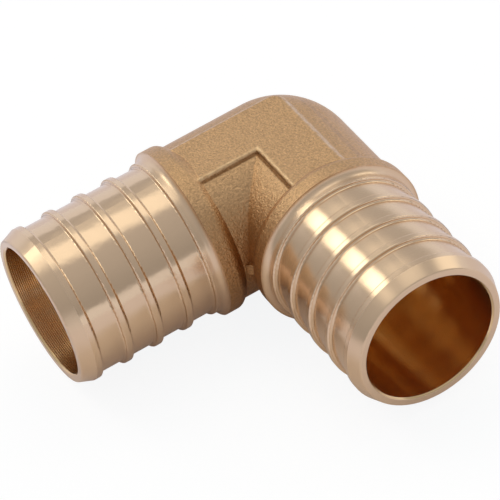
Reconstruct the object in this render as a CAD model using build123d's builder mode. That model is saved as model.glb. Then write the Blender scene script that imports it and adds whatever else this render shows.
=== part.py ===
# Brass crimp elbow for 1 in plastic water pipe: a forged 90 degree body with two turned, ribbed arms.
# All lengths are in millimetres. The two bore axes cross at the origin. One arm leaves along -Y,
# the other along -X, and both axes lie in the XY plane.
from build123d import *
import os
from math import radians, sqrt, tan

# ---- the waterway ----
bore_diameter = 18.4
drill_point_angle = 118          # included angle of the drill that leaves the blind end
drill_overrun = 1.0              # how far the full bore runs past the crossing
mouth_chamfer = 0.25

# ---- metal around the bore, as steps in radius ----
barrel_wall = 1.35               # plain barrel between the ribs
rib_height = 0.5                 # rib crests above the barrel, where the pipe is stretched over them
nose_drop = 0.75                 # edge of the end face below the rib crests
collar_rise = 0.9                # pipe stop collar above the rib crests
body_wall = 2.01                 # round forged body

# ---- stations along an arm, from the crossing outwards ----
corner_gap = 1.04                # from the other arm's body to the foot of the collar's rear slope
collar_slope_run = 0.9           # the rear slope, measured along the arm
collar_land = 2.05               # rear edge of the collar to the line where turning begins
stop_land = 0.75                 # raised ring in front of the collar that the pipe end meets
insert_length = 19.85            # pipe stop to the open end

# ---- the ribbed insert, measured in from its open end ----
nose_cone_length = 1.95
nose_land = 0.95
rib_count = 3
first_rib = 7.0                  # end face to the middle of the first rib
rib_pitch = 4.5
rib_width = 1.0
crest_rounding = 0.4             # as a share of the rib height
foot_rounding = 0.5              # as a share of the rib height
nose_edge_radius = 0.3
collar_edge_radius = 1.2

# ---- the flat L-shaped pads above and below the corner ----
flat_depth = 0.31                # crown of the body taken off to leave the flats
pad_outer_edge = 3.97            # arm axis to the pad's edge on the outside of the corner
pad_inner_edge = 3.72            # arm axis to the pad's edge on the inside of the corner
pad_depth = 1.5                  # how far the pad's walls run down into the body
pad_draft = 20                   # slope of the pad's side walls, in degrees
pad_outer_corner = 2.5           # plan rounding of the pad's outer corner, at its root
pad_inner_corner = 0.15          # plan rounding of the pad's inner corner, at its root
outer_edge_radius = 0.6
inner_edge_radius = 0.5

# ---- the trimmed flash in the inner corner, on the parting plane ----
flash_thickness = 1.7
flash_width = 0.95               # across the corner, from one body to the other
flash_root = 1.0                 # how deep the web is rooted in the body

# ---- radii and stations that follow from the sizes above ----
bore_radius = bore_diameter / 2
root_radius = bore_radius + barrel_wall
rib_radius = root_radius + rib_height
nose_radius = rib_radius - nose_drop
collar_radius = rib_radius + collar_rise
body_radius = bore_radius + body_wall
collar_foot = body_radius + corner_gap
collar_back = collar_foot + collar_slope_run
collar_front = collar_back + collar_land
stop_cove = collar_rise          # a quarter-round hollow that leads from the stop up to the collar
stop_step = collar_front + stop_cove + stop_land
arm_length = stop_step + insert_length
pad_top = body_radius - flat_depth
collar_slope = (collar_radius - body_radius) / collar_slope_run
slope_root = collar_foot - flat_depth / collar_slope - collar_slope_run
pad_root = pad_top - pad_depth
pad_spread = pad_depth * tan(radians(pad_draft))
pad_reach = collar_back + collar_land / 2
touch = 0.001                    # reach of a selector about an exact size

# Each arm is drawn in a half section: first coordinate along its axis, second one its radius.
arms = ((Plane.YZ, Axis.Y), (Plane.XZ, Axis.X))


def from_end(distance):
    """Place along an arm's axis, at a distance in from its open end."""
    return distance - arm_length


with BuildPart() as elbow_body:
    # L-shaped pads, one above and one below: drafted walls that rise out of the body, soft edges
    outer = pad_outer_edge + pad_spread
    inner = pad_inner_edge + pad_spread
    under_side = Plane(origin=(0, 0, -pad_root), x_dir=(0, 1, 0), z_dir=(0, 0, -1))
    with BuildSketch(Plane.XY.offset(pad_root), under_side) as pad_outline:
        with BuildLine():
            Polyline(
                (outer, outer),
                (-pad_reach, outer),
                (-pad_reach, -inner),
                (-inner, -inner),
                (-inner, -pad_reach),
                (outer, -pad_reach),
                close=True,
            )
        make_face()
        fillet(pad_outline.vertices().sort_by_distance((outer, outer))[0], pad_outer_corner)
        fillet(pad_outline.vertices().sort_by_distance((-inner, -inner))[0], pad_inner_corner)
    extrude(amount=pad_depth, taper=pad_draft)
    rims = elbow_body.edges().filter_by(lambda e: abs(e.center().Z) > pad_top - touch)
    inner_rims = rims.filter_by(lambda e: max(e.center().X, e.center().Y) < touch - pad_inner_edge)
    fillet(inner_rims, inner_edge_radius)
    rims = elbow_body.edges().filter_by(lambda e: abs(e.center().Z) > pad_top - touch)
    outer_limit = pad_outer_edge - pad_outer_corner / 2
    outer_rims = rims.filter_by(lambda e: max(e.center().X, e.center().Y) > outer_limit)
    fillet(outer_rims, outer_edge_radius)

    # The round body, a ball that closes the outside of the corner and a neck towards each arm
    Sphere(body_radius)
    for section_plane, arm_axis in arms:
        with BuildSketch(section_plane):
            with Locations((-collar_back / 2, body_radius / 2)):
                Rectangle(collar_back, body_radius)
        revolve(axis=arm_axis)
    Box(4 * arm_length, 4 * arm_length, 2 * pad_top, mode=Mode.INTERSECT)

    # Two turned arms: collar with its cast rear slope, pipe stop, ribs and nose cone
    for section_plane, arm_axis in arms:
        with BuildSketch(section_plane) as arm_section:
            with BuildLine():
                Polyline(
                    (-collar_front, collar_radius),
                    (-collar_back, collar_radius),
                    (-slope_root, collar_radius - (collar_back - slope_root) * collar_slope),
                    (-slope_root, 0),
                    (from_end(0), 0),
                    (from_end(0), nose_radius),
                    (from_end(nose_cone_length), rib_radius),
                    (from_end(nose_cone_length + nose_land), rib_radius),
                    (from_end(nose_cone_length + nose_land), root_radius),
                    (-stop_step, root_radius),
                    (-stop_step, rib_radius),
                    (-collar_front - stop_cove, rib_radius),
                )
                CenterArc((-collar_front - stop_cove, collar_radius), stop_cove, -90, 90)
            make_face()
            rib_places = [(from_end(first_rib + i * rib_pitch), root_radius) for i in range(rib_count)]
            with Locations(*rib_places):
                Rectangle(rib_width, 2 * rib_height)
            corners = arm_section.vertices()
            crests = corners.filter_by_position(Axis.Y, rib_radius - touch, rib_radius + touch)
            fillet(crests.sort_by(Axis.X)[1:-1], crest_rounding * rib_height)
            corners = arm_section.vertices()
            feet = corners.filter_by_position(Axis.Y, root_radius - touch, root_radius + touch)
            fillet(feet, foot_rounding * rib_height)
            corners = arm_section.vertices()
            fillet(corners.sort_by_distance((from_end(0), nose_radius))[0], nose_edge_radius)
            corners = arm_section.vertices()
            fillet(corners.sort_by_distance((-collar_back, collar_radius))[0], collar_edge_radius)
        revolve(axis=arm_axis)

    # Trimmed flash, a small web across the inner corner on the parting plane
    web_root = body_radius - flash_root
    web_reach = body_radius + flash_width / sqrt(2) + flash_root
    with BuildSketch(Plane.XY.offset(-flash_thickness / 2)):
        with BuildLine():
            Polyline((-web_reach, -web_root), (-web_root, -web_root), (-web_root, -web_reach), close=True)
        make_face()
    extrude(amount=flash_thickness)

    # The waterway: each arm is drilled from its own mouth, and the drill points meet past the corner
    drill_point = bore_radius / tan(radians(drill_point_angle / 2))
    for section_plane, arm_axis in arms:
        with BuildSketch(section_plane):
            with BuildLine():
                Polyline(
                    (drill_overrun + drill_point, 0),
                    (drill_overrun, bore_radius),
                    (from_end(mouth_chamfer), bore_radius),
                    (from_end(0), bore_radius + mouth_chamfer),
                    (from_end(0), 0),
                    close=True,
                )
            make_face()
        revolve(axis=arm_axis, mode=Mode.SUBTRACT)

elbow_body.part.label = "elbow_body"
os.makedirs("parts", exist_ok=True)
export_step(elbow_body.part, "parts/elbow_body.step")
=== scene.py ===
# Brass crimp elbow on white ground: a forged 90 degree fitting with two turned and ribbed arms
import bpy
import bmesh
from math import cos, pi, radians, sin
from mathutils import Matrix, Vector


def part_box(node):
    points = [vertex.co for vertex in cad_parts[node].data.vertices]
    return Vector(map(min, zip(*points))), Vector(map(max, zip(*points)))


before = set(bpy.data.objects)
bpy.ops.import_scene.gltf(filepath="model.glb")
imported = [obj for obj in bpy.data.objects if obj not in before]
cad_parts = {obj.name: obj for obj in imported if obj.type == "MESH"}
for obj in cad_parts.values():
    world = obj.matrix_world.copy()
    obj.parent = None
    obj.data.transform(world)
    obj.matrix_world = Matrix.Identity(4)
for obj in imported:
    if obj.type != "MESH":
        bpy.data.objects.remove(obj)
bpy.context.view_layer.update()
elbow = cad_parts["elbow_body"]
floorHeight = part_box("elbow_body")[0].z

cameraSettings = {
    "aim": (-0.00776, -0.002985, -0.00564),  # point on the view axis, inside the elbow
    "azimuth": -20.62,
    "elevation": 44.40,
    "roll": -14.16,
    "distance": 0.47278,
    "lens": 259.36,
    "sensor": 36,
    "clip": (0.01, 20),
}


def makeCamera(settings):
    turn, rise, roll = (radians(settings[k]) for k in ("azimuth", "elevation", "roll"))
    back = Vector((sin(turn) * cos(rise), -cos(turn) * cos(rise), sin(rise)))
    level = Vector((cos(turn), sin(turn), 0))
    right = cos(roll) * level + sin(roll) * back.cross(level)
    up = back.cross(right)
    data = bpy.data.cameras.new("camera")
    data.lens = settings["lens"]
    data.sensor_width = settings["sensor"]
    data.clip_start, data.clip_end = settings["clip"]
    camera = bpy.data.objects.new("camera", data)
    camera.matrix_world = Matrix((right, up, back)).transposed().to_4x4()
    camera.location = Vector(settings["aim"]) + settings["distance"] * back
    bpy.context.scene.collection.objects.link(camera)
    bpy.context.scene.camera = camera


makeCamera(cameraSettings)
bpy.context.scene.view_settings.view_transform = "Standard"
bpy.context.scene.cycles.glossy_bounces = 12  # light goes deep into the bores
print("camera placed")


# small helpers for node trees
def addNode(tree, kind, **settings):
    node = tree.nodes.new(kind)
    for name, value in settings.items():
        setattr(node, name, value)
    return node


def plug(tree, value, socket):
    # another node's output, a number, a vector or a colour goes into the socket
    if isinstance(value, bpy.types.NodeSocket):
        tree.links.new(value, socket)
    elif socket.type == "RGBA":
        socket.default_value = (*value, 1)
    else:
        socket.default_value = value


def mathNode(tree, operation, *values):
    node = addNode(tree, "ShaderNodeMath", operation=operation)
    for value, socket in zip(values, node.inputs):
        plug(tree, value, socket)
    return node.outputs[0]


def vectorNode(tree, operation, *values, scale=None):
    node = addNode(tree, "ShaderNodeVectorMath", operation=operation)
    for value, socket in zip(values, node.inputs):
        plug(tree, value, socket)
    if scale is not None:
        plug(tree, scale, node.inputs["Scale"])
    isNumber = operation in ("DOT_PRODUCT", "LENGTH", "DISTANCE")
    return node.outputs["Value" if isNumber else "Vector"]


def step(tree, value, low, high, smooth=False):
    # 0 at low and beyond, 1 at high and beyond
    node = addNode(tree, "ShaderNodeMapRange")
    node.interpolation_type = "SMOOTHSTEP" if smooth else "LINEAR"
    plug(tree, value, node.inputs["Value"])
    plug(tree, low, node.inputs["From Min"])
    plug(tree, high, node.inputs["From Max"])
    return node.outputs["Result"]


mixSockets = {"FLOAT": (2, 3, 0), "VECTOR": (4, 5, 1), "RGBA": (6, 7, 2)}  # two inputs and the output


def mixNode(tree, kind, factor, first, second, blend="MIX"):
    node = addNode(tree, "ShaderNodeMix", data_type=kind, blend_type=blend)
    firstPlace, secondPlace, resultPlace = mixSockets[kind]
    plug(tree, factor, node.inputs[0])
    plug(tree, first, node.inputs[firstPlace])
    plug(tree, second, node.inputs[secondPlace])
    return node.outputs[resultPlace]


def noise(tree, vector, scale, detail, roughness=0.5):
    node = addNode(tree, "ShaderNodeTexNoise")
    node.inputs["Scale"].default_value = scale
    node.inputs["Detail"].default_value = detail
    node.inputs["Roughness"].default_value = roughness
    plug(tree, vector, node.inputs["Vector"])
    return node.outputs["Fac"]


def bump(tree, height, strength=1.0, depth=1.0):
    node = addNode(tree, "ShaderNodeBump")
    node.inputs["Strength"].default_value = strength
    node.inputs["Distance"].default_value = depth
    plug(tree, height, node.inputs["Height"])
    return node


def split(tree, vector):
    node = addNode(tree, "ShaderNodeSeparateXYZ")
    plug(tree, vector, node.inputs[0])
    return node.outputs


def bandAround(tree, value, centre, width):
    # 1 at the centre, and 0 further from it than the first of the two widths
    offset = mathNode(tree, "ABSOLUTE", mathNode(tree, "SUBTRACT", value, centre))
    return step(tree, offset, *width, True)


def spreadNodes(tree):
    # columns of nodes in the order of their making, for a look in the node editor
    for index, node in enumerate(tree.nodes):
        node.location = (240 * (index // 6), -220 * (index % 6))


elbowSettings = {
    "turningEdge": 0.0152,           # crossing of the axes to the line where turning begins
    "turningBlend": 0.00004,
    "stopStart": 0.0169,             # crossing of the axes to the step in front of the collar
    "stopBlend": 0.0006,
    "noseStart": 0.03475,            # crossing of the axes to the cone at the open end
    "boreLimit": 0.0094,             # a surface nearer to the arm's axis than this is the bore
    "hollowLimit": 0.0105,           # a surface nearer to the crossing than this is the bore
}


def measureElbow(tree, settings):
    # where a point lies on the elbow, as distances from the crossing of the axes and as masks
    coords = addNode(tree, "ShaderNodeTexCoord").outputs["Object"]
    x, y, z = split(tree, coords)
    minusX = mathNode(tree, "MULTIPLY", x, -1)
    minusY = mathNode(tree, "MULTIPLY", y, -1)
    along = mathNode(tree, "MAXIMUM", minusX, minusY)
    across = mathNode(tree, "MINIMUM", minusX, minusY)
    acrossSquared = mathNode(tree, "MULTIPLY", across, across)
    radius = mathNode(tree, "SQRT", mathNode(tree, "MULTIPLY_ADD", z, z, acrossSquared))
    onLeftArm = mathNode(tree, "GREATER_THAN", minusX, minusY)
    armAxis = mixNode(tree, "VECTOR", onLeftArm, (0, 1, 0), (1, 0, 0))

    nearAxis = mathNode(tree, "LESS_THAN", radius, settings["boreLimit"])
    inBore = mathNode(tree, "MULTIPLY", nearAxis, mathNode(tree, "GREATER_THAN", along, 0))
    fromCrossing = vectorNode(tree, "LENGTH", coords)
    inHollow = mathNode(tree, "LESS_THAN", fromCrossing, settings["hollowLimit"])
    bore = mathNode(tree, "MAXIMUM", inBore, inHollow)

    edge, blend = settings["turningEdge"], settings["turningBlend"]
    onArm = step(tree, along, edge - blend, edge + blend)
    turned = mathNode(tree, "MAXIMUM", onArm, bore)

    # the cone at the open end and the front of the collar, without the bore inside them
    onCone = mathNode(tree, "GREATER_THAN", along, settings["noseStart"])
    onCollar = step(tree, along, settings["stopStart"], settings["stopStart"] - settings["stopBlend"])
    outside = mathNode(tree, "SUBTRACT", 1.0, bore)
    onEnds = mathNode(tree, "MULTIPLY", mathNode(tree, "MAXIMUM", onCone, onCollar), outside)
    return {
        "coords": coords,
        "outwards": mathNode(tree, "MAXIMUM", x, y),  # from the bent centre line to the outside
        "height": mathNode(tree, "ABSOLUTE", z),
        "along": along,
        "onLeftArm": onLeftArm,
        "armAxis": armAxis,
        "bore": bore,
        "turned": turned,
        "onEnds": onEnds,
    }


turnedSettings = {
    "colour": (0.795, 0.58, 0.378),
    "roughness": 0.20,
    "endRoughness": 0.32,            # the cone at the open end and the collar's front
    "anisotropy": 0.75,
    "glossTurn": 0.25,               # gloss spreads along the arm, across the rings
    "coat": 0.4,
    "coatRoughness": 0.18,
    "ringScale": 9000,               # fine rings left by the lathe tool
    "ringStrength": 0.6,
    "ringDepth": 0.000007,
    "ringGloss": 0.08,
    "patchScale": 380,
    "patchHeights": (0.000015, 0.00005),  # front arm, left arm
    "firstRib": 0.0297,              # crossing of the axes to the outermost rib
    "swellLength": 0.0045,           # slow swell of the barrel between the ribs
    "swellHeight": 0.00003,
}

boreSettings = {
    "colour": (0.807, 0.577, 0.308),
    "ringPitch": 0.00027,            # coarse marks of the boring tool
    "ringSlopes": (0.07, 0.20),      # front arm, left arm
    "ringShade": 0.05,
}


def turnedSurface(tree, spot, settings):
    # lathe rings on top of a slow swell and faint patches
    ringPlace = addNode(tree, "ShaderNodeCombineXYZ")
    plug(tree, spot["along"], ringPlace.inputs[0])
    rings = noise(tree, ringPlace.outputs[0], settings["ringScale"], 1.0)
    fromRib = mathNode(tree, "SUBTRACT", spot["along"], settings["firstRib"])
    swell = mathNode(tree, "MULTIPLY", fromRib, 2 * pi / settings["swellLength"])
    swell = mathNode(tree, "COSINE", swell)
    patchHeight = mixNode(tree, "FLOAT", spot["onLeftArm"], *settings["patchHeights"])
    patches = noise(tree, spot["coords"], settings["patchScale"], 2.0)
    patches = mathNode(tree, "MULTIPLY", patches, patchHeight)
    swellBump = bump(tree, mathNode(tree, "MULTIPLY_ADD", swell, -settings["swellHeight"], patches))
    ringBump = bump(tree, rings, settings["ringStrength"], settings["ringDepth"])
    plug(tree, swellBump.outputs[0], ringBump.inputs["Normal"])

    gloss = settings["ringGloss"]
    roughness = mathNode(tree, "MULTIPLY_ADD", rings, gloss, settings["roughness"] - gloss / 2)
    roughness = mixNode(tree, "FLOAT", spot["onEnds"], roughness, settings["endRoughness"])
    return ringBump.outputs[0], roughness


def boreSurface(tree, spot, smoothNormal, settings):
    # the boring tool's marks tilt the surface to and fro along the arm
    turn = mathNode(tree, "MULTIPLY", spot["along"], 2 * pi / settings["ringPitch"])
    rings = mathNode(tree, "SINE", turn)
    slope = mixNode(tree, "FLOAT", spot["onLeftArm"], *settings["ringSlopes"])
    slope = mathNode(tree, "MULTIPLY", slope, spot["bore"])
    tilt = vectorNode(tree, "SCALE", spot["armAxis"], scale=mathNode(tree, "MULTIPLY", rings, slope))
    normal = vectorNode(tree, "NORMALIZE", vectorNode(tree, "ADD", smoothNormal, tilt))
    shade = mathNode(tree, "MULTIPLY_ADD", rings, settings["ringShade"], 1.0)
    return normal, vectorNode(tree, "SCALE", settings["colour"], scale=shade)


padEdgeSettings = {
    "outerEdge": 0.00397,            # bent centre line to the pad's edge outside the corner
    "innerEdge": 0.00372,            # and to the edge inside it
    "height": 0.0088,                # the pads lie above this height and below the same depth
    "heightBlend": 0.0005,
    "ends": (0.0131, 0.0120),        # the edge finish fades out where the collars rise
    "lipHeight": 0.00022,            # rolled rim on the inside edge
    "lipWidth": (-0.00065, 0.0003),
    "lipTop": 0.00018,               # painted highlight, partly wear, on the lip's top, outwards from the inner edge, as is the foot line
    "lipTopWidth": (0.0004, 0.00005),
    "lipSheenColour": (0.88, 0.62, 0.34),
    "foot": -0.00028,                # painted shade: a dark line where the rim meets the wall
    "footWidth": (0.0003, 0.00008),
    "footTint": (0.52, 0.42, 0.33),
    "rubbedSheenWidth": (0.0005, 0.0001),
    "rubbedSheenColour": (0.84, 0.66, 0.51),
    "wearSheen": (0.2, 0.6),              # range of the grain that is rubbed bright, which also carries the painted highlights on the edges
    "wearSheenShare": 0.8,
}


def padEdges(tree, spot, pebbles, settings):
    # a rolled lip on the inside of the corner, with painted shade at its foot and a paler top, and a paler
    # rubbed line on the outside; both pale marks are partly wear and partly painted highlight
    base = settings["height"]
    onPads = step(tree, spot["height"], base, base + settings["heightBlend"])
    onPads = mathNode(tree, "MULTIPLY", onPads, step(tree, spot["along"], *settings["ends"], True))
    fromInner = mathNode(tree, "ADD", spot["outwards"], settings["innerEdge"])
    lip = step(tree, fromInner, *settings["lipWidth"], True)
    foot = bandAround(tree, fromInner, settings["foot"], settings["footWidth"])
    wornSheen = mathNode(tree, "MULTIPLY", step(tree, pebbles, *settings["wearSheen"]), onPads)
    wornSheen = mathNode(tree, "MULTIPLY", wornSheen, settings["wearSheenShare"])
    rubbedSheen = bandAround(tree, spot["outwards"], settings["outerEdge"], settings["rubbedSheenWidth"])
    lipTop = bandAround(tree, fromInner, settings["lipTop"], settings["lipTopWidth"])
    return {
        "lip": mathNode(tree, "MULTIPLY", lip, onPads),
        "foot": mathNode(tree, "MULTIPLY", foot, onPads),
        "rubbedSheen": mathNode(tree, "MULTIPLY", rubbedSheen, wornSheen),
        "lipTop": mathNode(tree, "MULTIPLY", lipTop, wornSheen),
    }


forgedSettings = {
    "colour": (0.60, 0.372, 0.187),
    "roughness": 0.35,
    "grainScale": 3600,
    "grainHeight": 0.00012,
    "pebbleScale": 1500,
    "pebbleHeight": 0.00008,
    "mottle": (1.2, 0.4),            # how much of the grain shows as colour, and its darkest level
    "crease": (-0.0125, -0.0125, 0),  # centre of the painted shade that darkens the skin in the inner corner
    "creaseReach": (0.0070, 0.0010),
    "cornerShadeTint": (0.80, 0.71, 0.61),
}


def forgedSurface(tree, spot, settings, edgeSettings):
    grain = noise(tree, spot["coords"], settings["grainScale"], 3.0, 0.6)
    pebbles = noise(tree, spot["coords"], settings["pebbleScale"], 2.0)
    edges = padEdges(tree, spot, pebbles, edgeSettings)
    skin = mathNode(tree, "MULTIPLY", grain, settings["grainHeight"])
    skin = mathNode(tree, "MULTIPLY_ADD", pebbles, settings["pebbleHeight"], skin)
    skin = mathNode(tree, "MULTIPLY_ADD", edges["lip"], edgeSettings["lipHeight"], skin)

    mottle = mathNode(tree, "MULTIPLY_ADD", grain, *settings["mottle"])
    mottleColour = addNode(tree, "ShaderNodeCombineColor")
    for socket in mottleColour.inputs:
        plug(tree, mottle, socket)
    colour = mixNode(tree, "RGBA", 1.0, settings["colour"], mottleColour.outputs[0], "MULTIPLY")
    # painted shade: the skin's colour darkens towards the inner corner
    flat = vectorNode(tree, "MULTIPLY", spot["coords"], (1, 1, 0))
    fromCrease = vectorNode(tree, "DISTANCE", flat, settings["crease"])
    cornerShade = step(tree, fromCrease, *settings["creaseReach"], True)
    colour = mixNode(tree, "RGBA", cornerShade, colour, settings["cornerShadeTint"], "MULTIPLY")
    # painted shade: a dark line at the foot of the lip's wall
    colour = mixNode(tree, "RGBA", edges["foot"], colour, edgeSettings["footTint"], "MULTIPLY")
    # rubbed paler along the outer edge, which also paints the edge's highlight
    colour = mixNode(tree, "RGBA", edges["rubbedSheen"], colour, edgeSettings["rubbedSheenColour"])
    # the lip's top is rubbed paler in spots, which also paints its highlight
    colour = mixNode(tree, "RGBA", edges["lipTop"], colour, edgeSettings["lipSheenColour"])
    return bump(tree, skin).outputs[0], colour


def makeBrass():
    material = bpy.data.materials.new("brass")
    material.use_nodes = True
    tree = material.node_tree
    tree.nodes.clear()
    spot = measureElbow(tree, elbowSettings)
    turnedNormal, turnedRoughness = turnedSurface(tree, spot, turnedSettings)
    machinedNormal, boreColour = boreSurface(tree, spot, turnedNormal, boreSettings)
    forgedNormal, forgedColour = forgedSurface(tree, spot, forgedSettings, padEdgeSettings)

    turned = spot["turned"]
    machinedColour = mixNode(tree, "RGBA", spot["bore"], turnedSettings["colour"], boreColour)
    around = vectorNode(tree, "CROSS_PRODUCT", spot["armAxis"], spot["coords"])
    shader = addNode(tree, "ShaderNodeBsdfPrincipled")
    looks = {
        "Base Color": mixNode(tree, "RGBA", turned, forgedColour, machinedColour),
        "Normal": mixNode(tree, "VECTOR", turned, forgedNormal, machinedNormal),
        "Roughness": mixNode(tree, "FLOAT", turned, forgedSettings["roughness"], turnedRoughness),
        "Coat Weight": mathNode(tree, "MULTIPLY", turned, turnedSettings["coat"]),
        "Coat Roughness": turnedSettings["coatRoughness"],
        "Anisotropic": mathNode(tree, "MULTIPLY", turned, turnedSettings["anisotropy"]),
        "Anisotropic Rotation": turnedSettings["glossTurn"],
        "Tangent": around,
        "Metallic": 1.0,
    }
    for name, value in looks.items():
        plug(tree, value, shader.inputs[name])
    output = addNode(tree, "ShaderNodeOutputMaterial")
    plug(tree, shader.outputs[0], output.inputs["Surface"])
    spreadNodes(tree)
    return material


elbow.data.materials[0] = makeBrass()
print("brass made")

floorSettings = {
    "size": 6.0,
    "gap": 0.00002,                  # between the elbow and the floor
    "colour": (0.90, 0.83, 0.77),
    "cameraShare": 0.8,              # how much of the floor's brightness is plain white for the camera
    "cameraWhite": (1.09, 1.105, 1.115),  # brings the open floor up to white, and leaves the shadow
    "mirrorShare": 0.34,             # the same for what the brass mirrors
    "mirrorWhite": (0.93, 0.97, 1.24),
    "contactCentre": (-0.014, -0.014),
    "contactReach": (0.018, 0.048),  # the mirrored white fades in over these distances from it: painted light on the floor, seen only in the brass, which leaves the floor round the elbow in its shade
}


def makeFloorMaterial(settings):
    material = bpy.data.materials.new("whiteFloor")
    material.use_nodes = True
    tree = material.node_tree
    tree.nodes.clear()
    diffuse = addNode(tree, "ShaderNodeBsdfDiffuse")
    plug(tree, settings["colour"], diffuse.inputs["Color"])
    rays = addNode(tree, "ShaderNodeLightPath")
    forCamera = rays.outputs["Is Camera Ray"]
    white = mixNode(tree, "RGBA", forCamera, settings["mirrorWhite"], settings["cameraWhite"])
    glow = addNode(tree, "ShaderNodeEmission")
    plug(tree, white, glow.inputs["Color"])

    coords = addNode(tree, "ShaderNodeTexCoord").outputs["Object"]
    away = vectorNode(tree, "DISTANCE", coords, (*settings["contactCentre"], floorHeight))
    # painted light: the floor glows for mirror rays only away from the elbow
    clear = step(tree, away, *settings["contactReach"], True)
    mirrorShare = mathNode(tree, "MULTIPLY", clear, settings["mirrorShare"])
    mirrorShare = mathNode(tree, "MULTIPLY", mirrorShare, rays.outputs["Is Glossy Ray"])
    share = mathNode(tree, "MULTIPLY_ADD", forCamera, settings["cameraShare"], mirrorShare)
    mix = addNode(tree, "ShaderNodeMixShader")
    for value, socket in zip((share, diffuse.outputs[0], glow.outputs[0]), mix.inputs):
        plug(tree, value, socket)
    output = addNode(tree, "ShaderNodeOutputMaterial")
    plug(tree, mix.outputs[0], output.inputs["Surface"])
    spreadNodes(tree)
    return material


def makeFloor(settings):
    mesh = bpy.data.meshes.new("floor")
    bm = bmesh.new()
    bmesh.ops.create_grid(bm, x_segments=1, y_segments=1, size=settings["size"] / 2)
    bmesh.ops.translate(bm, verts=bm.verts, vec=(0, 0, floorHeight - settings["gap"]))
    bm.to_mesh(mesh)
    bm.free()
    mesh.materials.append(makeFloorMaterial(settings))
    floor = bpy.data.objects.new("floor", mesh)
    bpy.context.scene.collection.objects.link(floor)


makeFloor(floorSettings)
print("floor made")

# each window lies towards "from", and has its half sizes and soft edges along the x axis, then square to it
windowSettings = {
    "key": {"from": (-0.320, 0.578, 0.75), "half": (0.169, 0.22), "soft": (0.06, 0.06), "radiance": 2.2},
    "shade": {"from": (0.04, 0.57, 0.81), "half": (0.13, 0.15), "soft": (0.05, 0.04), "radiance": 0.28},
    "strip": {"from": (0.30, 0.65, 0.70), "half": (0.04, 0.17), "soft": (0.03, 0.10), "radiance": 0.45},
    "top": {"from": (0.21, 0.27, 0.94), "half": (0.27, 0.28), "soft": (0.10, 0.12), "radiance": 0.72},
    "side": {"from": (-0.40, 0.30, 0.86), "half": (0.11, 0.18), "soft": (0.06, 0.12), "radiance": 1.5},
    "right": {"from": (0.87, 0.135, 0.45), "half": (0.26, 0.20), "soft": (0.10, 0.12), "radiance": 1.25},
}

studioSettings = {
    "windowTint": (1.0, 0.975, 0.86),
    "domeLevel": 0.38,
    "domeSlope": (0.0, 0.052, 0.20),  # the dome is brighter at the back and overhead
    "domeTint": (1.0, 1.0, 1.04),
    "wallColour": (0.83, 0.85, 0.93),
    "wallEdge": 0.37,                # height at which the walls end, as the z of a direction
    "wallEdgeSlope": (0.16, -0.095, 1.0),  # the edge falls to the right and rises towards the back
    "wallBlend": 0.03,
    "wallEnds": (-0.70, -0.35),      # the walls fade out between these x of a direction
}


def softWindow(tree, direction, settings):
    # bright panel far away, with soft edges
    facing = Vector(settings["from"]).normalized()
    alongX = (Vector((1, 0, 0)) - facing.x * facing).normalized()
    ahead = vectorNode(tree, "DOT_PRODUCT", direction, facing)
    light = mathNode(tree, "GREATER_THAN", ahead, 0)
    for axis, half, soft in zip((alongX, alongX.cross(facing)), settings["half"], settings["soft"]):
        offset = mathNode(tree, "DIVIDE", vectorNode(tree, "DOT_PRODUCT", direction, axis), ahead)
        offset = mathNode(tree, "ABSOLUTE", offset)
        light = mathNode(tree, "MULTIPLY", light, step(tree, offset, half + soft, half - soft, True))
    return mathNode(tree, "MULTIPLY", light, settings["radiance"])


def makeStudio(settings, windows):
    # grey dome with bright windows, above pale walls
    world = bpy.data.worlds.new("studio")
    bpy.context.scene.world = world
    world.use_nodes = True
    tree = world.node_tree
    tree.nodes.clear()
    direction = addNode(tree, "ShaderNodeTexCoord").outputs["Generated"]
    slope = vectorNode(tree, "DOT_PRODUCT", direction, settings["domeSlope"])
    dome = mathNode(tree, "ADD", slope, settings["domeLevel"])
    light = 0.0
    for window in windows.values():
        light = mathNode(tree, "MAXIMUM", light, softWindow(tree, direction, window))
    dome = vectorNode(tree, "SCALE", settings["domeTint"], scale=dome)
    light = vectorNode(tree, "SCALE", settings["windowTint"], scale=light)
    sky = vectorNode(tree, "ADD", dome, light)

    edge, blend = settings["wallEdge"], settings["wallBlend"]
    height = vectorNode(tree, "DOT_PRODUCT", direction, settings["wallEdgeSlope"])
    wall = step(tree, height, edge + blend, edge - blend, True)
    x = split(tree, direction)[0]
    wall = mathNode(tree, "MULTIPLY", wall, step(tree, x, *settings["wallEnds"], True))
    seen = mixNode(tree, "RGBA", wall, sky, settings["wallColour"])
    rays = addNode(tree, "ShaderNodeLightPath")
    colour = mixNode(tree, "RGBA", rays.outputs["Is Camera Ray"], seen, (1, 1, 1))
    background = addNode(tree, "ShaderNodeBackground")
    plug(tree, colour, background.inputs["Color"])
    output = addNode(tree, "ShaderNodeOutputWorld")
    plug(tree, background.outputs[0], output.inputs["Surface"])
    spreadNodes(tree)


makeStudio(studioSettings, windowSettings)
print("studio lights made")
